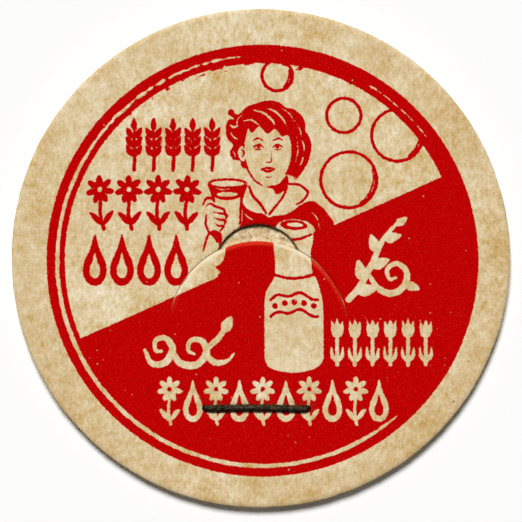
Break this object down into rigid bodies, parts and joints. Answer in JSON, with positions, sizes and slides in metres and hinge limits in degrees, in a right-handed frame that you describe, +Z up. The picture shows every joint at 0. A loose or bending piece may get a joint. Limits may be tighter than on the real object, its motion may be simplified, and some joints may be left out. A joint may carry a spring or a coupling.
{
  "type": "pull-tab milk bottle cap",
  "caption": "Flat round paperboard plug cap for a milk bottle: laminated plies, a die-cut lift tab with a thumb notch, a wire staple and a one-colour print.",
  "frame": {"origin": "centre of the underside of the cap", "axes": "+Z up through the printed face, +Y from the staple towards the thumb notch, +X to the right seen from above"},
  "size_m": [0.0412, 0.0412, 0.0016],
  "materials": {
    "bare_board": "matte",
    "printed_board": "satin",
    "printed_tab": "satin",
    "staple_wire": "satin"
  },
  "bodies": {
    "cap": {"lower_board": "bare_board", "upper_board": "printed_board", "wire_staple": "staple_wire"},
    "tab": {"pull_tab": "printed_tab"}
  },
  "joints": [
    {"name": "tab_lift", "type": "hinge", "parent": "cap", "child": "tab", "pos_m": [-0.0002, -0.0112, 0.0012], "axis": [1, 0, 0], "range_deg": [0, 120]}
  ]
}
